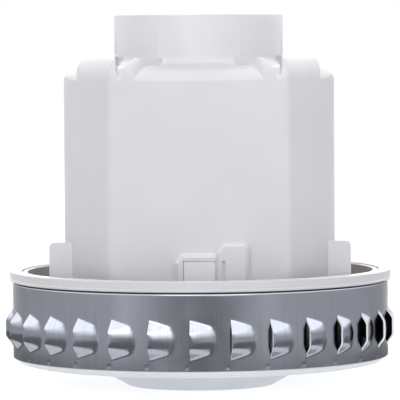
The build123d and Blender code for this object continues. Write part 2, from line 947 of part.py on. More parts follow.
# Upper bracket: two rails on the core, a pillar on each, and a bridge with the bearing hub
bridge_bottom = commutator_top + bridge_gap
holder_half = cavity_half + holder_wall + seat_gap
holder_end = cavity_end + holder_wall + seat_gap
with BuildPart() as upper_bracket:
    with BuildSketch(Plane.XY.offset(core_top)):
        add(core_outline())
        Rectangle(2 * rail_inner, 3 * core_half_y, mode=Mode.SUBTRACT)
        with Locations(*screw_spots):
            Circle(screw_hole_radius, mode=Mode.SUBTRACT)
    extrude(amount=rail_height)
    with BuildSketch(Plane.XY.offset(core_top + rail_height)):
        Rectangle(2 * core_half_x, 2 * pillar_half)
        Rectangle(2 * pillar_inner, 3 * pillar_half, mode=Mode.SUBTRACT)
    extrude(amount=bridge_bottom - core_top - rail_height)
    with BuildSketch(Plane.XY.offset(bridge_bottom)):
        Rectangle(2 * core_half_x, 2 * pillar_half)
        Circle(upper_hub_radius)
    extrude(amount=bridge_wall)
    with BuildSketch(Plane.XY.offset(bridge_bottom)):
        Circle(upper_hub_radius)
    extrude(amount=upper_bearing_top - bridge_bottom)
    with BuildSketch(Plane.XY.offset(upper_bearing_bottom)):
        Circle(upper_seat_radius)
    extrude(amount=upper_bearing_width + overrun, mode=Mode.SUBTRACT)
    with BuildSketch(Plane.XY.offset(bridge_bottom - overrun)):
        Circle(upper_seat_radius - bearing_race_wall)
    extrude(amount=upper_bearing_width, mode=Mode.SUBTRACT)
    with BuildSketch(Plane.YZ.offset(-core_half_x - overrun)):
        with Locations((0, brush_level)):
            Rectangle(2 * holder_half, 2 * holder_end)
    extrude(amount=2 * (core_half_x + overrun), mode=Mode.SUBTRACT)
write(upper_bracket.part, "upper_bracket")


# Motor cover
def cover_outline():
    """The cover's outer edge in plan: four flats joined by four slanted panels."""
    corners = [
        (front_flat_half, -cover_half_y),
        (cover_half_x, -side_flat_half),
        (cover_half_x, side_flat_half),
        (front_flat_half, cover_half_y),
    ]
    mirrored = [(-x, y) for x, y in reversed(corners)]
    with BuildSketch() as outline:
        with BuildLine():
            Polyline(*corners, *mirrored, close=True)
        make_face()
        tips = outline.vertices()
        fillet(tips.filter_by(lambda tip: abs(tip.Y) > side_flat_half + overrun), panel_edge)
        tips = outline.vertices()
        fillet(tips.filter_by(lambda tip: abs(tip.X) > cover_half_x - seat_gap), side_edge)
    return outline.sketch


def platform_plan():
    """Plan of the platform before the tube, out to the middle of each ridge."""
    with BuildSketch() as plan:
        with BuildLine():
            Polyline(
                (-ridge_outer_x, -cover_half_y),
                (ridge_outer_x, -cover_half_y),
                (ridge_inner_x, -ridge_inner_y),
                (-ridge_inner_x, -ridge_inner_y),
                close=True,
            )
        make_face()
    return plan.sketch


nose_middle = rail_block_outer - rail_nose_x / 2 - seat_gap
shoulder_top = roof + shoulder_rise
platform_top = roof + platform_rise
ridge_top = roof + ridge_rise
brow_front = cover_half_y - roof_edge
brow_back = brow_front - brow_depth
hood_top = floor_top + hood_height
pocket_top = hood_top - hood_roof
block_top = pocket_top - seat_gap
block_bottom = block_top - block_height
front = Plane.XZ.offset(cover_half_y - cover_wall / 2)
rear = Plane.XZ.offset(-cover_half_y - overrun)
with BuildPart() as platform:
    with BuildSketch(Plane.YZ.offset(-ridge_outer_x)):
        with BuildLine():
            TangentArc((-brow_back, platform_top), (-brow_front, roof), tangent=(-1, 0))
            Polyline(
                (-brow_front, roof),
                (-brow_front, roof - roof_edge),
                (-ridge_inner_y, roof - roof_edge),
                (-ridge_inner_y, platform_top),
                (-brow_back, platform_top),
            )
        make_face()
    extrude(amount=2 * ridge_outer_x)
    with BuildSketch(Plane.XY.offset(roof - roof_edge)):
        add(platform_plan())
    extrude(amount=platform_rise + roof_edge, mode=Mode.INTERSECT)
    mirror(about=Plane.XZ)
with BuildPart() as ridges:
    with BuildSketch(Plane.XY.offset(roof - roof_edge)):
        with BuildLine():
            Polyline(
                (ridge_outer_x - ridge_width / 2, -cover_half_y),
                (ridge_outer_x + ridge_width / 2, -cover_half_y),
                (ridge_inner_x + ridge_width / 2, -ridge_inner_y),
                (ridge_inner_x - ridge_width / 2, -ridge_inner_y),
                close=True,
            )
        make_face()
    extrude(amount=ridge_rise + roof_edge)
    fillet(ridges.edges().group_by(Axis.Z)[-1].sort_by(Axis.X)[-1], ridge_round)
    with BuildSketch(Plane.YZ):
        with BuildLine():
            Polyline(
                (-cover_half_y, ridge_top - ridge_nose_drop),
                (-cover_half_y + ridge_nose, ridge_top),
                (-cover_half_y + ridge_nose, ridge_top + overrun),
                (-cover_half_y - overrun, ridge_top + overrun),
                (-cover_half_y - overrun, ridge_top - ridge_nose_drop),
                close=True,
            )
        make_face()
    extrude(amount=cover_half_x, mode=Mode.SUBTRACT)
    mirror(about=Plane.YZ)
    mirror(about=Plane.XZ)
with BuildPart() as motor_cover:
    with BuildSketch(Plane.XY.offset(floor_top)):
        add(cover_outline())
    extrude(amount=roof - floor_top)
    fillet(motor_cover.faces().sort_by(Axis.Z)[-1].edges(), roof_edge)
    # Shoulders and rails along both sides of the roof
    with BuildSketch(Plane.XY.offset(roof - roof_edge)):
        add(cover_outline())
        Rectangle(3 * cover_half_x, 2 * rail_block_half, mode=Mode.INTERSECT)
        Rectangle(2 * rail_block_inner, 3 * cover_half_y, mode=Mode.SUBTRACT)
    extrude(amount=shoulder_top - roof + roof_edge)
    brows = motor_cover.faces().sort_by(Axis.Z)[-2:].edges()
    brows = brows.filter_by(lambda edge: abs(edge.center().X) > rail_block_outer)
    fillet(brows, shoulder_round)
    with BuildSketch(Plane.XY.offset(roof - roof_edge)) as rail_plan:
        with BuildLine():
            Polyline(
                (rail_block_inner, -rail_block_half),
                (rail_block_outer - rail_nose_x, -rail_block_half),
                (rail_block_outer, -rail_block_half + rail_nose_y),
                (rail_block_outer, 0),
                (rail_block_inner, 0),
                close=True,
            )
        make_face()
        corners = rail_plan.vertices()
        fillet(corners.sort_by_distance((rail_block_inner, -rail_block_half))[0], rail_corner)
        mirror(about=Plane.XZ)
        mirror(about=Plane.YZ)
    extrude(amount=rail_top - roof + roof_edge)
    tops = motor_cover.faces().sort_by(Axis.Z)[-2:].edges()
    outer_tops = tops.filter_by(lambda edge: abs(edge.center().X) > nose_middle)
    fillet(outer_tops, rail_block_round)
    # Cheeks that carry the front and rear walls up beside the ridges
    with BuildSketch(Plane.XY.offset(roof - roof_edge)):
        add(cover_outline())
        Rectangle(2 * (rail_block_inner + cheek_width), 3 * cover_half_y, mode=Mode.INTERSECT)
        Rectangle(2 * rail_block_inner, 3 * cover_half_y, mode=Mode.SUBTRACT)
        Rectangle(3 * cover_half_x, 2 * (rail_block_half - overrun), mode=Mode.SUBTRACT)
    extrude(amount=platform_rise + roof_edge)
    # Platform between the ridges, ridges, and the tube of the cooling air inlet
    add(platform.part)
    add(ridges.part)
    with BuildSketch(Plane.XZ) as tube_profile:
        with BuildLine():
            Polyline(
                (tube_bore_radius, ceiling),
                (tube_radius + tube_foot, ceiling),
                (tube_radius, rail_top),
                (tube_radius, tube_top),
                (tube_bore_radius, tube_top),
                close=True,
            )
        make_face()
        corners = tube_profile.vertices()
        chamfer(corners.sort_by_distance((tube_radius, tube_top))[0], tube_edge)
    revolve(axis=Axis.Z)
    # Lugs at the foot of both sides: two upright fins with a snap catch's box between them
    for side, height in ((-1, fin_height_front), (1, fin_height_rear)):
        with BuildSketch(Plane.XY.offset(floor_top)):
            with Locations((0, side * (lug_half_y - fin_wall / 2))):
                Rectangle(2 * lug_half_x, fin_wall)
        extrude(amount=height)
    tips = motor_cover.edges().filter_by(Axis.Y)
    tips = tips.filter_by(lambda edge: abs(edge.center().X) > lug_half_x - seat_gap)
    fillet(tips.filter_by(lambda edge: edge.center().Z > floor_top + overrun), lug_round)
    with BuildSketch(Plane.XY.offset(floor_top)):
        Rectangle(2 * lug_half_x, 2 * catch_half_y)
    extrude(amount=catch_height)
    # Terminal hood and the boss beside it
    with BuildSketch(front):
        with BuildLine():
            Polyline(
                (-hood_left, floor_top),
                (-hood_left, hood_top - hood_chamfer_z),
                (-hood_left + hood_chamfer_x, hood_top),
                (pocket_right, hood_top),
                (pocket_right, floor_top),
                close=True,
            )
        make_face()
    extrude(amount=hood_depth + cover_wall / 2)
    brow = motor_cover.faces().sort_by(Axis.Y)[0].edges()
    brow = brow.filter_by(lambda edge: edge.center().X < pocket_right - seat_gap)
    chamfer(brow.filter_by(lambda edge: edge.center().Z > floor_top + overrun), hood_bevel)
    with BuildSketch(front) as boss_profile:
        with BuildLine():
            Polyline(
                (pocket_right, floor_top),
                (pocket_right, floor_top + boss_top - boss_chamfer_z),
                (pocket_right + boss_chamfer_x, floor_top + boss_top),
                (boss_right, floor_top + boss_top),
                (boss_right, floor_top),
                close=True,
            )
        make_face()
        corners = boss_profile.vertices()
        fillet(corners.sort_by_distance((boss_right, floor_top + boss_top))[0], boss_round)
    extrude(amount=boss_depth + cover_wall / 2)
    brow = motor_cover.faces().sort_by(Axis.Y)[0].edges()
    chamfer(brow.filter_by(lambda edge: edge.center().Z > floor_top + overrun), boss_bevel)
    # Hollow inside, following the wall
    with BuildSketch(Plane.XY.offset(floor_top - overrun)):
        add(cover_outline())
        offset(amount=-cover_wall)
    extrude(amount=ceiling - floor_top + overrun, mode=Mode.SUBTRACT)
    with BuildSketch(Plane.XY.offset(ceiling - overrun)):
        Circle(tube_bore_radius)
    extrude(amount=tube_top - ceiling + 2 * overrun, mode=Mode.SUBTRACT)
    # Platform and rails cored out from inside
    with BuildSketch(Plane.XY.offset(ceiling - overrun)):
        add(platform_plan())
        offset(amount=-cover_wall)
        Rectangle(2 * ridge_outer_x, 2 * brow_back, mode=Mode.INTERSECT)
        mirror(about=Plane.XZ)
    extrude(amount=platform_top - cover_wall - ceiling + overrun, mode=Mode.SUBTRACT)
    with BuildSketch(Plane.XY.offset(ceiling - overrun)):
        for side in (-1, 1):
            with Locations((side * (tube_radius + cover_wall + rail_block_outer) / 2, 0)):
                Rectangle(
                    rail_block_outer - tube_radius - 3 * cover_wall,
                    2 * (rail_block_half - rail_corner),
                )
    extrude(amount=rail_top - cover_wall - ceiling + overrun, mode=Mode.SUBTRACT)
    # Lug pockets for the hooks, each with a catch window in the wall
    pocket_inner = cover_half_x
    pocket_outer = lug_half_x - cover_wall
    with BuildSketch(Plane.XY.offset(floor_top - overrun)):
        for side in (-1, 1):
            with Locations((side * (pocket_inner + pocket_outer) / 2, 0)):
                Rectangle(pocket_outer - pocket_inner, 2 * (catch_half_y - cover_wall))
    extrude(amount=catch_height - cover_wall + overrun, mode=Mode.SUBTRACT)
    window_bottom = hook_top - hook_nose_height - hook_window_margin
    window_top = hook_top + hook_window_margin
    with BuildSketch(Plane.YZ.offset(-cover_half_x - overrun)):
        with Locations((0, (window_bottom + window_top) / 2)):
            Rectangle(2 * (hook_half + hook_window_margin), window_top - window_bottom)
    extrude(amount=cover_wall + 2 * overrun, mode=Mode.SUBTRACT)
    with BuildSketch(Plane.YZ.offset(cover_half_x + overrun)):
        with Locations((0, (window_bottom + window_top) / 2)):
            Rectangle(2 * (hook_half + hook_window_margin), window_top - window_bottom)
    extrude(amount=-(cover_wall + 2 * overrun), mode=Mode.SUBTRACT)
    # Pocket under the hood, and the window behind it for the terminal block
    pocket_middle = (pocket_right - pocket_left) / 2
    with BuildSketch(Plane.XZ.offset(cover_half_y)):
        with Locations((pocket_middle, (floor_top + pocket_top) / 2)):
            Rectangle(pocket_right + pocket_left, pocket_top - floor_top)
    extrude(amount=hood_depth + overrun, mode=Mode.SUBTRACT)
    with BuildSketch(Plane.XZ.offset(cover_half_y - cover_wall - overrun)):
        with Locations((pocket_middle, (block_bottom + pocket_top) / 2)):
            Rectangle(pocket_right + pocket_left, pocket_top - block_bottom)
    extrude(amount=cover_wall + 2 * overrun, mode=Mode.SUBTRACT)
    groove_x = pocket_right + groove_inset + groove_width / 2
    with BuildSketch(Plane.XZ.offset(cover_half_y + boss_depth - groove_depth)):
        with Locations((groove_x, (floor_top + pocket_top) / 2)):
            Rectangle(groove_width, pocket_top - floor_top)
    extrude(amount=groove_depth + overrun, mode=Mode.SUBTRACT)
    # Cooling air outlets through the rear wall
    with BuildSketch(rear):
        with Locations((0, floor_top + outlet_base + outlet_height / 2)):
            with GridLocations(outlet_pitch, 0, outlet_count, 1):
                SlotOverall(outlet_height, outlet_width, rotation=90)
    extrude(amount=cover_wall + 2 * overrun, mode=Mode.SUBTRACT)
write(motor_cover.part, "motor_cover")

# Terminal block, seated in the pocket and through the wall behind it
block_face = cover_half_y + hood_depth - block_recess
block_back = cover_half_y - cover_wall - block_tail
blade_place = cover_half_y + hood_depth / 2
with BuildPart() as terminal_blades:
    with BuildSketch(Plane.XY.offset(block_bottom - blade_length)):
        with Locations((pocket_middle, -blade_place)):
            with GridLocations((pocket_right + pocket_left) / 2, 0, 2, 1):
                Rectangle(2 * blade_half_width, blade_thickness)
    extrude(amount=blade_length + blade_root)
write(terminal_blades.part, "terminal_blades")
with BuildPart() as terminal_block:
    with BuildSketch(Plane.XY.offset(block_bottom + seat_gap)):
        with Locations((pocket_middle, -(block_face + block_back) / 2)):
            Rectangle(pocket_right + pocket_left - 2 * seat_gap, block_face - block_back)
    extrude(amount=block_top - block_bottom - seat_gap)
    with BuildSketch(Plane.XY.offset(block_bottom - overrun)):
        with Locations((pocket_middle, -blade_place)):
            with GridLocations((pocket_right + pocket_left) / 2, 0, 2, 1):
                Rectangle(2 * blade_half_width, blade_thickness)
    extrude(amount=blade_root + overrun, mode=Mode.SUBTRACT)
write(terminal_block.part, "terminal_block")
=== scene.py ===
import math

import bmesh
import bpy
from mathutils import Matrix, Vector


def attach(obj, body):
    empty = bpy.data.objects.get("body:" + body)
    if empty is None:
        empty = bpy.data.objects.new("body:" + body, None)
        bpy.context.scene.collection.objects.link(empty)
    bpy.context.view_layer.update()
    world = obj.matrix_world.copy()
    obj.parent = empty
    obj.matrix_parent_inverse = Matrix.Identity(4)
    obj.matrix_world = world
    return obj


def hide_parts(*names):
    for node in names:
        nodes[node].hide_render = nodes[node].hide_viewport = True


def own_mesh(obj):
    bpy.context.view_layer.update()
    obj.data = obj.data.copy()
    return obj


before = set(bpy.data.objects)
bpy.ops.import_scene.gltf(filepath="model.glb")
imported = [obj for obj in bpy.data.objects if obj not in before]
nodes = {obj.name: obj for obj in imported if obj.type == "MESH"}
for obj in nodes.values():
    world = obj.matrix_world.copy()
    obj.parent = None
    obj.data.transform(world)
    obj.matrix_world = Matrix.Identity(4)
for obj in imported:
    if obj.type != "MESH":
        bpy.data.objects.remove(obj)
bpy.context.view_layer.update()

scene = bpy.context.scene
MM = 0.001
WHITE = (1, 1, 1, 1)
same_spot = 1e-6
smooth_limit = math.radians(38)
lathe_segments = 240
weld_distance = 5e-6
bevel_from = math.radians(32)
face_weight = 80


def heights(name):
    """The lowest and the highest level of a CAD node, in millimetres."""
    levels = [corner[2] / MM for corner in nodes[name].bound_box]
    return round(min(levels), 3), round(max(levels), 3)


# Sizes that several pieces share, in millimetres, with the levels from the CAD nodes
band_radius = 72.0
band_sheet = 0.8
band_bottom, band_top = heights("louvre_band")
plate_foot, spigot_top = heights("bottom_plate")
rim_top = heights("rim_ring")[1]
tube_top = heights("motor_cover")[1]
round_fine = 0.2
round_small = 0.3
round_lip = 0.4


# Meshes
def new_object(name, data):
    """An object of any kind, linked into the scene."""
    thing = bpy.data.objects.new(name, data)
    scene.collection.objects.link(thing)
    return thing


def stand_in(name, mesh, node):
    """A fixed piece with a mesh of its own in place of a CAD node."""
    piece = new_object(name, mesh)
    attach(piece, "housing")
    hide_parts(node)
    return piece


def add_piece(name, verts, faces, material, node, cuts=(), cut_material=None):
    """A stand-in from points in millimetres, smooth-shaded, with a second material on its cuts."""
    mesh = bpy.data.meshes.new(name)
    mesh.from_pydata([tuple(c * MM for c in v) for v in verts], [], faces)
    for cut in cuts:
        mesh.polygons[cut].material_index = 1
    work = bmesh.new()
    work.from_mesh(mesh)
    bmesh.ops.remove_doubles(work, verts=work.verts, dist=same_spot)
    bmesh.ops.recalc_face_normals(work, faces=work.faces)
    work.to_mesh(mesh)
    work.free()
    mesh.shade_smooth()
    mesh.set_sharp_from_angle(angle=smooth_limit)
    mesh.materials.append(material)
    if cuts:
        mesh.materials.append(cut_material)
    return stand_in(name, mesh, node)


def rounded(points, steps=5):
    """A closed loop of (x, y, radius) corners as points, each corner rounded by its radius."""
    loop = []
    count = len(points)
    for i, (x, y, radius) in enumerate(points):
        here = Vector((x, y))
        back = (Vector(points[i - 1][:2]) - here).normalized()
        ahead = (Vector(points[(i + 1) % count][:2]) - here).normalized()
        if radius <= 0:
            loop.append((x, y))
            continue
        half = back.angle(ahead) / 2
        setback = radius / math.tan(half)
        centre = here + (back + ahead).normalized() * (radius / math.sin(half))
        start = here + back * setback - centre
        turn = start.angle_signed(here + ahead * setback - centre)
        for step in range(steps + 1):
            angle = -turn * step / steps
            loop.append((
                centre.x + start.x * math.cos(angle) - start.y * math.sin(angle),
                centre.y + start.x * math.sin(angle) + start.y * math.cos(angle),
            ))
    return loop


def soft_low(a, b, blend):
    """The lower of two heights, rounded where they meet."""
    share = max(blend - abs(a - b), 0) / blend
    return min(a, b) - share * share * blend / 4


def arch(depth, width):
    """Rise of a rounded edge, from 0 at its foot to 1 at its width and beyond."""
    share = 1 - min(max(depth / width, 0), 1)
    return math.sqrt(1 - share * share)


def strip(left, right, size):
    """Faces between two closed sections of size points, given by where each section starts."""
    pairs = [(j, (j + 1) % size) for j in range(size)]
    return [(left + j, right + j, right + after, left + after) for j, after in pairs]


def ring_faces(count, size):
    """Faces of a closed skin through count sections that stand round the shaft."""
    faces = []
    for i in range(count):
        faces += strip(i * size, (i + 1) % count * size, size)
    return faces


def lathe(name, profile, material, node):
    """A turned piece from a closed profile of (radius, level, rounding)."""
    loop = rounded(profile)
    verts = []
    for i in range(lathe_segments):
        angle = 2 * math.pi * i / lathe_segments
        verts += [(r * math.cos(angle), r * math.sin(angle), z) for r, z in loop]
    return add_piece(name, verts, ring_faces(lathe_segments, len(loop)), material, node)


def soften(node, width, segments=2):
    """Breaks a piece's sharp edges by a small rounding, over normals that follow its faces."""
    weld = node.modifiers.new("weld", "WELD")
    weld.merge_threshold = weld_distance
    edge = node.modifiers.new("edge", "BEVEL")
    edge.width = width * MM
    edge.segments = segments
    edge.limit_method = "ANGLE"
    edge.angle_limit = bevel_from
    edge.harden_normals = False
    edge.use_clamp_overlap = True
    normals = node.modifiers.new("normals", "WEIGHTED_NORMAL")
    normals.keep_sharp = True
    normals.weight = face_weight


# Materials
gloss_down = 0.06
gloss_up = 0.08
metal_edge_tint = (0.6, 0.6, 0.6, 1)


def shader(name, color, roughness, metallic=0.0):
    """A plain material, with its node tree and its surface shader."""
    material = bpy.data.materials.new(name)
    material.use_nodes = True
    tree = material.node_tree
    surface = tree.nodes["Principled BSDF"]
    surface.inputs["Base Color"].default_value = (*color, 1)
    surface.inputs["Roughness"].default_value = roughness
    surface.inputs["Metallic"].default_value = metallic
    return material, tree, surface


def place(tree):
    """The place on the piece, in metres."""
    return tree.nodes.new("ShaderNodeTexCoord").outputs["Object"]


def axes(tree, vector):
    """The X, Y and Z outputs of a vector."""
    node = tree.nodes.new("ShaderNodeSeparateXYZ")
    tree.links.new(vector, node.inputs["Vector"])
    return node.outputs["X"], node.outputs["Y"], node.outputs["Z"]


def reckon(tree, operation, first, second=None, factor=None):
    """One maths node on a value, with a second value or with a constant factor."""
    node = tree.nodes.new("ShaderNodeMath")
    node.operation = operation
    tree.links.new(first, node.inputs[0])
    if second is not None:
        tree.links.new(second, node.inputs[1])
    if factor is not None:
        node.inputs[1].default_value = factor
    return node.outputs[0]


def noise(tree, vector, scale, detail):
    """Fractal noise over a vector."""
    node = tree.nodes.new("ShaderNodeTexNoise")
    node.inputs["Scale"].default_value = scale
    node.inputs["Detail"].default_value = detail
    tree.links.new(vector, node.inputs["Vector"])
    return node.outputs["Fac"]


def spread(tree, value, low, high, start=0.3, stop=0.7):
    """Maps a value from start to stop, which fit a noise, onto low to high."""
    node = tree.nodes.new("ShaderNodeMapRange")
    node.inputs["From Min"].default_value = start
    node.inputs["From Max"].default_value = stop
    node.inputs["To Min"].default_value = low
    node.inputs["To Max"].default_value = high
    tree.links.new(value, node.inputs["Value"])
    return node.outputs["Result"]


def vary_color(tree, surface, value, color, contrast):
    """Runs the base colour from a darker to a lighter shade of color as value rises."""
    node = tree.nodes.new("ShaderNodeMix")
    node.data_type = "RGBA"
    node.inputs["A"].default_value = (*(c * (1 - contrast) for c in color), 1)
    node.inputs["B"].default_value = (*(min(1, c * (1 + contrast)) for c in color), 1)
    tree.links.new(spread(tree, value, 0, 1), node.inputs["Factor"])
    tree.links.new(node.outputs["Result"], surface.inputs["Base Color"])


def vary_gloss(tree, surface, roughness, scale):
    """Patches of handling gloss: the roughness wanders round its middle."""
    patches = noise(tree, place(tree), scale, detail=5)
    wandering = spread(tree, patches, roughness - gloss_down, roughness + gloss_up)
    tree.links.new(wandering, surface.inputs["Roughness"])


def bump(tree, surface, value, height):
    """Relief on the surface, height in metres."""
    node = tree.nodes.new("ShaderNodeBump")
    node.inputs["Distance"].default_value = height
    node.inputs["Strength"].default_value = 1
    tree.links.new(value, node.inputs["Height"])
    tree.links.new(node.outputs["Normal"], surface.inputs["Normal"])


def plastic(name, color, roughness=0.42, grain=2600, depth=0.00003, mottle=0.03):
    """Moulded plastic: fine eroded grain, faint flow marks and patches of handling gloss."""
    material, tree, surface = shader(name, color, roughness)
    vary_color(tree, surface, noise(tree, place(tree), scale=28, detail=3), color, mottle)
    vary_gloss(tree, surface, roughness, scale=90)
    bump(tree, surface, noise(tree, place(tree), grain, detail=2), depth)
    return material


def around(tree, axial, radial):
    """Coordinates that wind round the shaft: the turned angle and the level, each scaled."""
    x, y, z = axes(tree, place(tree))
    turned = reckon(tree, "MULTIPLY", reckon(tree, "ARCTAN2", y, x), factor=radial)
    joined = tree.nodes.new("ShaderNodeCombineXYZ")
    tree.links.new(turned, joined.inputs["X"])
    tree.links.new(reckon(tree, "MULTIPLY", z, factor=axial), joined.inputs["Y"])
    return joined.outputs["Vector"]


def brushed(name, color, roughness, axial, radial, contrast=0.12, depth=0.00002, metallic=1.0):
    """Metal with fine streaks, along the shaft or round it."""
    material, tree, surface = shader(name, color, roughness, metallic)
    streaks = noise(tree, around(tree, axial, radial), scale=1, detail=6)
    vary_color(tree, surface, streaks, color, contrast)
    vary_gloss(tree, surface, roughness, scale=60)
    bump(tree, surface, streaks, depth)
    surface.inputs["Specular Tint"].default_value = metal_edge_tint
    return material


cover_white = plastic("cover_white", (0.715, 0.71, 0.745))
rim_white = plastic("rim_white", (0.68, 0.675, 0.70))
# The plate's white is bluer and lighter than the cover's. The extra lightness is painted light for
# its underside, which faces the shaded floor
plate_white_lifted = plastic("plate_white_lifted", (0.80, 0.825, 0.87))
# The lower bracket's warm grey is painted shade: darker than the white parts, for the deep trench
# inside the rim where it shows
bracket_shade_grey = plastic(
    "bracket_shade_grey", (0.46, 0.42, 0.41), 0.5, grain=1800, depth=0.00005, mottle=0.06
)
# The terminal block is lighter than the cover's white: painted light against the shade of its
# recess
block_white_lifted = plastic("block_white_lifted", (0.80, 0.80, 0.83), 0.5)
fan_black = plastic("fan_black", (0.02, 0.02, 0.022), 0.45, grain=1500, depth=0.00005, mottle=0.2)
insulator_cream = plastic("insulator_cream", (0.62, 0.56, 0.40), 0.5)
carbon_black = plastic(
    "carbon_black", (0.025, 0.025, 0.025), 0.7, grain=3000, depth=0.00006, mottle=0.2
)
felt_grey = plastic("felt_grey", (0.09, 0.085, 0.08), 0.95, grain=1200, depth=0.0002, mottle=0.2)
band_steel = brushed(
    "band_steel", (0.205, 0.215, 0.247), 0.17, axial=25, radial=220, contrast=0.09, depth=0.00001
)
# The sheet's cut edges at the louvre mouths: bare steel, made pale and little metallic as a painted
# highlight that keeps them bright
cut_edge_highlight = brushed(
    "cut_edge_highlight", (0.86, 0.87, 0.90), 0.5, axial=300, radial=300, contrast=0.05, metallic=0.2
)
turned_steel = brushed("turned_steel", (0.55, 0.56, 0.58), 0.25, axial=3000, radial=3)
sheet_steel = brushed("sheet_steel", (0.30, 0.31, 0.33), 0.4, axial=3500, radial=8, contrast=0.3)
rolled_aluminium = brushed("rolled_aluminium", (0.72, 0.73, 0.74), 0.32, axial=60, radial=30)
cast_aluminium = brushed(
    "cast_aluminium", (0.55, 0.56, 0.57), 0.5, axial=400, radial=20, contrast=0.1, depth=0.0001
)
varnished_copper = brushed(
    "varnished_copper", (0.50, 0.20, 0.09), 0.35, axial=2500, radial=60, contrast=0.35, depth=0.0002
)
bare_copper = brushed("bare_copper", (0.70, 0.36, 0.20), 0.25, axial=2500, radial=3)
drawn_brass = brushed("drawn_brass", (0.66, 0.48, 0.20), 0.3, axial=300, radial=40)
tinned_brass = brushed("tinned_brass", (0.66, 0.65, 0.62), 0.3, axial=900, radial=40)

# Every CAD node that is shown, or whose mesh is copied below
bearing_rings = [
    f"{end}_bearing_{ring}_ring" for end in ("lower", "upper") for ring in ("inner", "outer")
]
impeller_plates = ["impeller_back_plate", "impeller_front_plate", "impeller_blades"]
turned_parts = ["shaft", "spacer_sleeve", "stator_screws", "impeller_washers", "impeller_nut"]
for finish, names in (
    (cover_white, ["motor_cover"]),
    (bracket_shade_grey, ["lower_bracket"]),
    (block_white_lifted, ["terminal_block"]),
    (tinned_brass, ["terminal_blades"]),
    (cast_aluminium, ["upper_bracket"]),
    (turned_steel, turned_parts + bearing_rings + ["brush_spring_left", "brush_spring_right"]),
    (felt_grey, ["shaft_seal"]),
    (sheet_steel, ["stator_core", "rotor_core"]),
    (insulator_cream, ["pole_insulator_front", "pole_insulator_rear"]),
    (varnished_copper, ["field_coil_front", "field_coil_rear", "armature_winding"]),
    (bare_copper, ["commutator"]),
    (rolled_aluminium, impeller_plates),
    (fan_black, ["cooling_fan"]),
    (drawn_brass, ["brush_holder_left", "brush_holder_right"]),
    (carbon_black, ["carbon_brush_left", "carbon_brush_right"]),
):
    for name in names:
        nodes[name].data.materials.clear()
        nodes[name].data.materials.append(finish)

# Lower bracket and terminal block: CAD nodes with their edges eased
bracket_edge = 0.2
block_edge = 0.3
soften(nodes["lower_bracket"], bracket_edge)
soften(nodes["terminal_block"], block_edge)

# Brush springs: copies of their nodes, shown in their place
for side, side_name in ((-1, "left"), (1, "right")):
    name = f"brush_spring_{side_name}"
    spring = stand_in(f"{name}_coil", nodes[name].data.copy(), name)
    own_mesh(spring)

# Motor cover: its walls from the CAD node, under a moulded top with soft brows, rails and ridges
cover_half_x = 51.2
cover_half_y = 50.0
front_flat = 33.4
side_flat = 26.3
front_corner_round = 4
side_corner_round = 22
corner_steps = 14
outline_spacing = 0.5
wall_edge = 0.3
cut_level = 117.0
roof = 118.3
deck = 122.9
roof_edge = 1.0
front_brow = 10.5
infill_brow = 4.0
corner_brow = 8.0
side_brow = 5.0
brow_blend = 0.15
rail_top = 126.4
rail_foot = 121.8
rail_inner = 30.55
rail_outer = 45.4
rail_round = 3.5
rail_inner_round = 1.0
hip_depth = 6.0
hip_blend = 0.5
ridge_top = 125.8
ridge_half = 2.4
ridge_front = Vector((26.5, 50.0))
ridge_root = Vector((13.2, 26.2))
ridge_line = ridge_front - ridge_root
ridge_tail = -0.3
ridge_round = 1.3
ridge_nose = 6.5
ridge_drop = 4.2
nose_power = 1.4
tube_radius = 32.35
tube_flare = 3.5
tube_lip = 0.5
bore_radius = 30.15
bore_lip = 0.4
lip_bulge = 0.15
edge_depths = [0, 0.03, 0.12, 0.3, 0.55, 0.85]
deck_start = 1.2
deck_rows = 52


def top_level(x, y, edge):
    """Level of the moulded top at a point of the plan, edge in from the cover's outline."""
    x = abs(x)
    y = abs(y)
    diagonal = Vector((cover_half_y - side_flat, cover_half_x - front_flat)).normalized()
    corner = diagonal.dot(Vector((front_flat, cover_half_y))) - diagonal.dot(Vector((x, y)))
    # The deck, with brows that fall to the roof line and a flare that climbs the tube
    along = (y - ridge_root.y) / (ridge_front.y - ridge_root.y)
    across = x - ridge_root.x - along * ridge_line.x
    brow = (cover_half_y - y) / (infill_brow if across > 0 else front_brow)
    brow = soft_low(brow, corner / corner_brow, brow_blend)
    brow = min(soft_low(brow, (cover_half_x - x) / side_brow, brow_blend), 1)
    level = roof + (deck - roof) * (1 - (1 - max(brow, 0)) ** 2)
    level += tube_flare * (1 - arch(math.hypot(x, y) - tube_radius, tube_flare))
    # The rails, hipped at the slanted corner panels
    if rail_inner < x < rail_outer:
        side = min(arch(rail_outer - x, rail_round), arch(x - rail_inner, rail_inner_round))
        front = arch(soft_low(corner, cover_half_y - y, hip_blend), hip_depth)
        hip = min(rail_foot + (rail_top - rail_foot) * side, roof + (rail_top - roof) * front)
        level = max(level, hip)
    # The slanted ridges, which bow down to the front
    aside = (ridge_half - abs(across)) * ridge_line.y / ridge_line.length
    if aside > 0 and along > ridge_tail:
        nose = max(y - cover_half_y + ridge_nose, 0) / ridge_nose
        crown = ridge_top - ridge_drop * nose**nose_power
        level = max(level, roof + (crown - roof) * arch(aside, ridge_round))
    return level - roof_edge * (1 - arch(edge, roof_edge))


def cover_outline():
    """Points round the cover's plan, its corners rounded as the walls below are."""
    corners = [
        (front_flat, -cover_half_y, front_corner_round),
        (cover_half_x, -side_flat, side_corner_round),
        (cover_half_x, side_flat, side_corner_round),
        (front_flat, cover_half_y, front_corner_round),
    ]
    corners += [(-x, y, radius) for x, y, radius in reversed(corners)]
    loop = [Vector(point) for point in rounded(corners, corner_steps)]
    points = []
    for here, there in zip(loop, loop[1:] + loop[:1]):
        count = max(1, round((there - here).length / outline_spacing))
        points += [here.lerp(there, i / count) for i in range(count)]
    return points


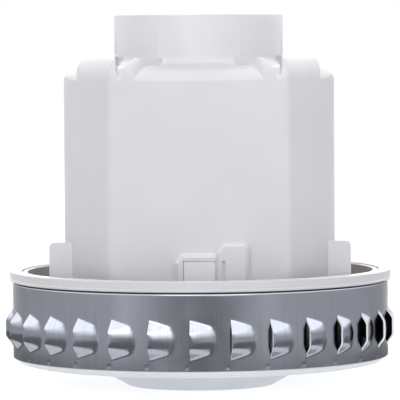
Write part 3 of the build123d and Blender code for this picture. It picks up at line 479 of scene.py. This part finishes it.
def cover_top():
    """The top as one closed skin: brow, roof and tube outside, then back down the bore."""
    outline = cover_outline()
    tube = (
        (tube_radius, tube_top - tube_lip),
        (tube_radius - lip_bulge, tube_top - lip_bulge),
        (tube_radius - tube_lip, tube_top),
        (bore_radius + bore_lip, tube_top),
        (bore_radius, tube_top - bore_lip),
        (bore_radius, cut_level),
    )
    verts = []
    for i, rim in enumerate(outline):
        tangent = (outline[(i + 1) % len(outline)] - outline[i - 1]).normalized()
        spoke = rim.normalized()
        inner = spoke * tube_radius
        run = (rim - inner).length
        lean = abs(spoke.cross(tangent))
        shares = [row / deck_rows for row in range(deck_rows + 1)]
        depths = edge_depths + [deck_start + (run - deck_start) * share for share in shares]
        verts.append((rim.x, rim.y, cut_level))
        for depth in depths:
            spot = rim.lerp(inner, depth / run)
            verts.append((spot.x, spot.y, top_level(spot.x, spot.y, depth * lean)))
        verts += [(spoke.x * radius, spoke.y * radius, level) for radius, level in tube]
    return verts, ring_faces(len(outline), len(verts) // len(outline))


def cover_walls():
    """A copy of the CAD cover below the cut, closed again at the cut."""
    mesh = nodes["motor_cover"].data.copy()
    work = bmesh.new()
    work.from_mesh(mesh)
    bmesh.ops.remove_doubles(work, verts=work.verts, dist=same_spot)
    bmesh.ops.bisect_plane(
        work,
        geom=work.verts[:] + work.edges[:] + work.faces[:],
        plane_co=(0, 0, cut_level * MM),
        plane_no=(0, 0, 1),
        clear_outer=True,
    )
    bmesh.ops.triangle_fill(work, edges=[edge for edge in work.edges if edge.is_boundary])
    bmesh.ops.recalc_face_normals(work, faces=work.faces)
    work.to_mesh(mesh)
    work.free()
    return stand_in("cover_walls", mesh, "motor_cover")


verts, faces = cover_top()
add_piece("cover_top", verts, faces, cover_white, "motor_cover")
soften(cover_walls(), wall_edge)

# Rim ring: a U over the top of the drum, with a bead and a lip on its outer skirt
rim_inner = 68.5
rim_outer = 73.3
rim_crown_round = 0.6
rim_clearance = 0.05
rim_foot = band_top + rim_clearance
rim_waist = 72.95
rim_bead = 73.1
bead_top = 41.4
bead_middle = 41.1
bead_foot = 40.5
rim_lip = 72.5
lip_foot = 40.3
lip_round = 0.1
groove_outer = 71.0
groove_inner = 69.8
groove_top = 43.1
lathe(
    "rim_moulding",
    [
        (rim_inner, rim_foot, round_small),
        (rim_inner, rim_top, rim_crown_round),
        (rim_outer, rim_top, round_lip),
        (rim_waist, bead_top, round_lip),
        (rim_bead, bead_middle, round_fine),
        (rim_waist, bead_foot, round_fine),
        (rim_lip, lip_foot, lip_round),
        (groove_outer, lip_foot, round_fine),
        (groove_outer, groove_top, round_small),
        (groove_inner, groove_top, round_small),
        (groove_inner, rim_foot, round_fine),
    ],
    rim_white,
    "rim_ring",
)

# Bottom plate: a disc with a conical boss round the inlet and a spigot inside the band
plate_level = 7.8
edge_turn = 69.3
edge_turn_level = 9.1
edge_turn_round = 2.0
edge_foot = 66.0
edge_foot_level = 8.35
edge_foot_round = 4.0
flat_outer = 60.5
flat_round = 6.0
boss_root = 42.0
boss_root_round = 4.0
boss_radius = 27.9
boss_round = 0.8
boss_inner = 27.0
boss_sheet = 2.2
boss_inner_round = 1.0
inlet_radius = 19.0
inlet_chamfer = 1.0
collar_outer = 21.0
collar_top = 7.5
collar_round = 0.6
web_inner = 41.4
web_level = 10.0
web_round = 3.0
spigot_inner = 68.9
spigot_outer = 71.1
spigot_round = 0.5
lathe(
    "plate_moulding",
    [
        (edge_foot, edge_foot_level, edge_foot_round),
        (flat_outer, plate_level, flat_round),
        (boss_root, plate_level, boss_root_round),
        (boss_radius, plate_foot, boss_round),
        (inlet_radius + inlet_chamfer, plate_foot, round_small),
        (inlet_radius, plate_foot + inlet_chamfer, round_small),
        (inlet_radius, collar_top, round_small),
        (collar_outer, collar_top, round_small),
        (collar_outer, boss_sheet, collar_round),
        (boss_inner, boss_sheet, boss_inner_round),
        (web_inner, web_level, web_round),
        (spigot_inner, web_level, spigot_round),
        (spigot_inner, spigot_top, round_small),
        (spigot_outer, spigot_top, round_small),
        (spigot_outer, band_bottom, 0),
        (band_radius, band_bottom, round_small),
        (edge_turn, edge_turn_level, edge_turn_round),
    ],
    plate_white_lifted,
    "bottom_plate",
)

# Louvred band, its louvres in millimetres and its columns in degrees from a louvre's mouth
band_rows = 52
band_bend = 0.6
bend_steps = 4
band_flange = 3.0
louvre_count = 30
louvre_phase = -77.41
louvre_level = 22.6
louvre_rise = 3.1
louvre_reach = 9.4
louvre_foot = 14.2
louvre_tip = 8.0
louvre_crown = 0.5
louvre_slope = 0.74
louvre_taper = 0.306
louvre_limit = 74.85
crease_blend = 0.5
root_blend = 0.15
slope_stretch = 1.04
slope_sheet = band_sheet * slope_stretch
mouth_gap = 0.02
louvre_half = math.degrees(math.asin(louvre_reach / 2 / band_radius))
hood_margin = 1
hood_end = 2 * louvre_half + hood_margin
hood_columns = [0, 0.12, 0.35, 0.8, 1.4, 2.2, 3.0, 3.9, 4.8, 5.7, 6.5, 7.2, 7.8, 8.3, 9.0]
crimp_column = 11.05
wall_columns = [10.0, 10.7, crimp_column, 11.4]
crimp_level = 1.2
crimp_reach = 0.5
crimp_depth = 0.15


def hood_radius(angle, level):
    """Radius of the hood's skin at an angle from its middle and a level above its centre."""
    along = louvre_reach / 2 + band_radius * math.sin(angle)
    crown = louvre_crown * min(1, (2 * level / louvre_tip) ** 2)
    ramp = louvre_rise * (1 - along / louvre_reach) - crown
    side = louvre_slope * (louvre_foot / 2 - louvre_taper * along - abs(level))
    return min(band_radius + soft_low(ramp, side, crease_blend), louvre_limit)


def band_loop(angle, is_hood, is_crimp=False):
    """One upright section through the sheet: out and up, over the flange, down and in."""
    outer = []
    inner = []
    for row in range(band_rows + 1):
        level = band_bottom + (band_top - band_bend - band_bottom) * row / band_rows
        radius = band_radius
        skin = band_radius - band_sheet
        if is_hood:
            hood = hood_radius(angle, level - louvre_level)
            radius = -soft_low(-hood, -band_radius, root_blend)
            skin = max(hood - slope_sheet, skin)
        if is_crimp and abs(level - band_bottom - crimp_level) < crimp_reach:
            radius -= crimp_depth
        outer.append((radius, level))
        inner.append((skin, level))
    for step in range(1, bend_steps + 1):
        turn = math.pi / 2 * step / bend_steps
        outer.append((
            band_radius - band_bend + band_bend * math.cos(turn),
            band_top - band_bend + band_bend * math.sin(turn),
        ))
    outer.append((band_radius - band_flange, band_top))
    outer.append((band_radius - band_flange, band_top - band_sheet))
    outer.append((band_radius - band_sheet, band_top - band_sheet))
    return outer + inner[::-1]


def upright(loop, degrees):
    """The points of a section, stood at an angle round the shaft."""
    turn = math.radians(degrees)
    return [(r * math.cos(turn), r * math.sin(turn), z) for r, z in loop]


def louvred_band():
    """The wall with its louvres pressed out, each open at its mouth."""
    pitch = 360 / louvre_count
    wall = band_loop(0, False)
    size = len(wall)
    verts = []
    faces = []
    cuts = []
    for louvre in range(louvre_count):
        middle = louvre_phase + pitch * louvre
        starts = []
        for column in hood_columns + wall_columns + [pitch]:
            local = column - louvre_half
            loop = band_loop(math.radians(local), column < hood_end, column == crimp_column)
            starts.append(len(verts))
            verts += upright(loop, middle + local)
        for left, right in zip(starts, starts[1:]):
            faces += strip(left, right, size)
        # Cut edges of the sheet at the mouth, on the hood and on the wall before it
        hood = starts[0]
        before = len(verts)
        verts += upright(wall, middle - louvre_half)
        for j in range(band_rows):
            far = size - 1 - j
            edge = [Vector(verts[hood + k]).xy.length for k in (j, j + 1)]
            if max(edge) - band_radius > mouth_gap:
                cuts += [len(faces), len(faces) + 1]
                faces.append((hood + j, hood + j + 1, hood + far - 1, hood + far))
                faces.append((before + j, before + far, before + far - 1, before + j + 1))
    return verts, faces, cuts


verts, faces, cuts = louvred_band()
add_piece(
    "band_pressing", verts, faces, band_steel, "louvre_band", cuts, cut_edge_highlight
)

# Floor, in metres: it looks white to the camera and in reflections, and keeps the shadow
floor_half = 40.0
floor_grey = (0.75, 0.75, 0.75)
floor_glow = 0.3
floor_seen_glow = 0.6
floor = new_object("floor", bpy.data.meshes.new("floor"))
signs = ((-1, -1), (1, -1), (1, 1), (-1, 1))
floor.data.from_pydata([(floor_half * x, floor_half * y, 0) for x, y in signs], [], [(0, 1, 2, 3)])
floor_paint, tree, surface = shader("floor_paint", floor_grey, 0.9)
surface.inputs["Specular IOR Level"].default_value = 0.1
surface.inputs["Emission Color"].default_value = WHITE
path = tree.nodes.new("ShaderNodeLightPath")
seen = path.outputs["Is Camera Ray"]
for ray in ("Is Glossy Ray", "Is Transmission Ray"):
    seen = reckon(tree, "MAXIMUM", seen, path.outputs[ray])
glow = spread(tree, seen, floor_glow, floor_seen_glow, 0, 1)
tree.links.new(glow, surface.inputs["Emission Strength"])
floor.data.materials.append(floor_paint)

# World: dim for the light it gives, white to the camera, and a dome that brightens upwards in
# reflections
world_light = 0.38
dome_horizon = 0.85
dome_high = 4.2
dome_rise = 0.25
world = bpy.data.worlds.new("studio")
scene.world = world
world.use_nodes = True
tree = world.node_tree
sky = tree.nodes["Background"]
sky.inputs["Color"].default_value = WHITE
path = tree.nodes.new("ShaderNodeLightPath")
upwards = axes(tree, tree.nodes.new("ShaderNodeTexCoord").outputs["Generated"])[2]
dome = spread(tree, upwards, dome_horizon, dome_high, 0, dome_rise)
strength = None
for ray in ("Is Camera Ray", "Is Transmission Ray", "Is Glossy Ray"):
    chosen = tree.nodes.new("ShaderNodeMix")
    chosen.inputs["A"].default_value = world_light
    chosen.inputs["B"].default_value = 1
    tree.links.new(path.outputs[ray], chosen.inputs["Factor"])
    if strength:
        tree.links.new(strength, chosen.inputs["A"])
    strength = chosen.outputs["Result"]
tree.links.new(dome, chosen.inputs["B"])
tree.links.new(strength, sky.inputs["Strength"])

# Lamps, in metres and watts
lamp_aim = Vector((0, 0, 0.07))


def lamp(name, where, size, power):
    """A soft square lamp that faces the middle of the object."""
    light = bpy.data.lights.new(name, "AREA")
    light.size = size
    light.energy = power
    holder = new_object(name, light)
    holder.location = where
    holder.rotation_euler = (lamp_aim - holder.location).to_track_quat("-Z", "Y").to_euler()


lamp("key", (-0.35, -1.6, 0.8), size=0.8, power=7)
lamp("fill", (0.5, -1.6, 0.5), size=0.8, power=3)
lamp("top", (0.0, -0.2, 1.5), size=0.8, power=3.2)
lamp("back", (0.2, 1.3, 1.2), size=0.9, power=3)

# Painted reflections: glowing sheets on the floor that only reflections show, for the metal to
# reflect: a bright ring close to the drum, a dark ring round it, and a dark fan that runs out on
# the camera's side and grows paler to both sides
sheet_level = 0.002
sheet_steps = 24
sheet_grey = (0.1, 0.1, 0.1)
fan_glow = 0.16
fan_side_glow = 1.3
fan_pales_from = 0.1
fan_pale_at = 0.9


def sheet(name, middle, half, inner, outer, glow):
    """A flat sheet that only reflections show, round a middle angle; glow is its brightness."""
    verts = []
    faces = []
    for step in range(sheet_steps + 1):
        turn = math.radians(middle + half * (2 * step / sheet_steps - 1))
        for radius in (inner, outer):
            verts.append((radius * math.cos(turn), radius * math.sin(turn), sheet_level))
        if step:
            last = len(verts) - 1
            faces.append((last - 3, last - 2, last, last - 1))
    piece = new_object(name, bpy.data.meshes.new(name))
    piece.data.from_pydata(verts, [], faces)
    paint, tree, surface = shader(f"{name}_paint", sheet_grey, 1)
    surface.inputs["Emission Color"].default_value = WHITE
    surface.inputs["Emission Strength"].default_value = glow
    piece.data.materials.append(paint)
    piece.visible_camera = False
    piece.visible_diffuse = False
    piece.visible_shadow = False
    return tree, surface


# Painted reflections: a bright glowing ring, a dim dark ring and a dark fan, seen only in
# reflections
sheet("bright_reflection_ring", middle=-90, half=180, inner=0.077, outer=0.1, glow=2.1)
sheet("dark_reflection_ring", middle=-90, half=180, inner=0.105, outer=0.2, glow=0.24)
tree, surface = sheet("reflection_fan", middle=-93, half=45, inner=0.2, outer=4.0, glow=fan_glow)
x, y, _ = axes(tree, place(tree))
aside = reckon(tree, "ABSOLUTE", reckon(tree, "DIVIDE", x, y))
paling = spread(tree, aside, fan_glow, fan_side_glow, fan_pales_from, fan_pale_at)
tree.links.new(paling, surface.inputs["Emission Strength"])

# Camera, in metres, with a slight roll
eye = Vector((0.0, -1.458, 0.142))
target = Vector((0.00012, 0.0, 0.0707))
camera_roll = -0.0075
camera = new_object("camera", bpy.data.cameras.new("camera"))
camera.data.sensor_width = 36
camera.data.lens = 342
camera.data.clip_end = 100
camera.location = eye
camera.rotation_euler = (target - eye).to_track_quat("-Z", "Y").to_euler()
camera.rotation_euler.rotate_axis("Z", camera_roll)
scene.camera = camera
scene.view_settings.view_transform = "Standard"
